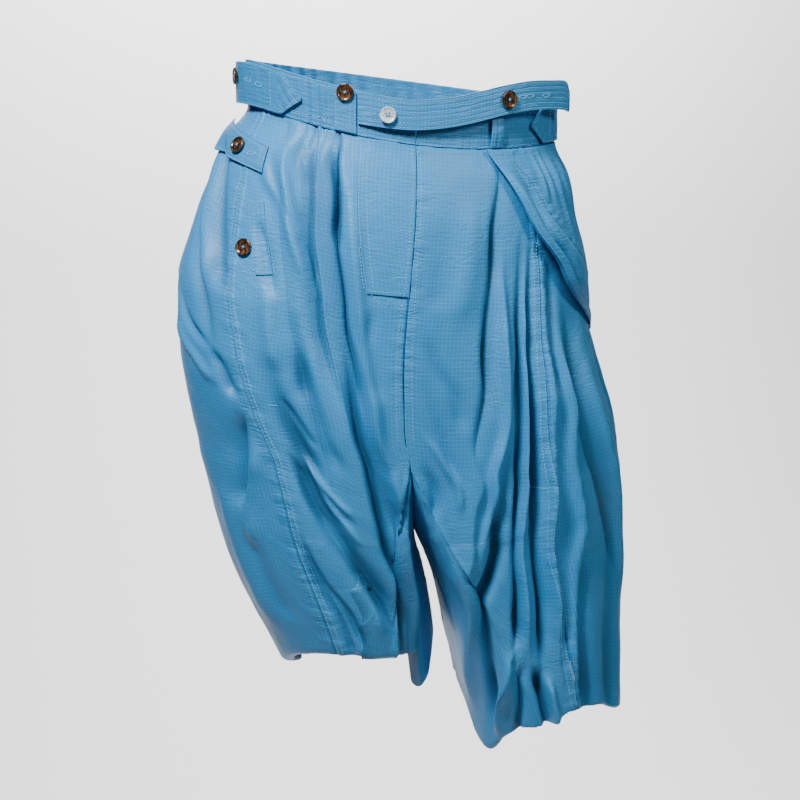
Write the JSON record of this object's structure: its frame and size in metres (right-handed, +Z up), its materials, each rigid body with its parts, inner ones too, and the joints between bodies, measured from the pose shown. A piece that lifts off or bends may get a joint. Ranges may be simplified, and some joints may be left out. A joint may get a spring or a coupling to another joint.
{
  "type": "harem shorts",
  "caption": "Hollow, filled-out harem shorts in light blue ripstop cloth, with a low draped crotch, a side drape, a loose belt and tabs with horn buttons.",
  "frame": {"origin": "middle of the waist opening, level with the band's top edge before it dips", "axes": "+X to the right as seen from the front, so towards the wearer's left; +Y to the back; +Z up along the body"},
  "size_m": [0.4668, 0.288, 0.6672],
  "materials": {
    "cloth": "light crisp ripstop with a soft sheen",
    "cloth_double": "doubled and topstitched cloth",
    "horn": "polished dark horn",
    "pale_horn": "polished pale translucent shell"
  },
  "bodies": {
    "root": {"front_left": "cloth", "front_right": "cloth", "back_left": "cloth", "back_right": "cloth", "side_drape_right": "cloth", "fly_placket": "cloth", "pocket_welt": "cloth", "waistband_front_left": "cloth_double", "waistband_front_right": "cloth_double", "waistband_back": "cloth_double", "belt": "cloth_double", "belt_keeper": "cloth_double", "belt_loop_right": "cloth_double", "hip_strap_left": "cloth_double", "hip_strap_right": "cloth_double", "pocket_tab": "cloth_double", "button_keeper": "horn", "button_belt_end": "horn", "button_hip_left": "horn", "button_pocket_tab": "horn", "button_pocket_side": "horn", "button_belt_pale": "pale_horn"}
  },
  "joints": []
}
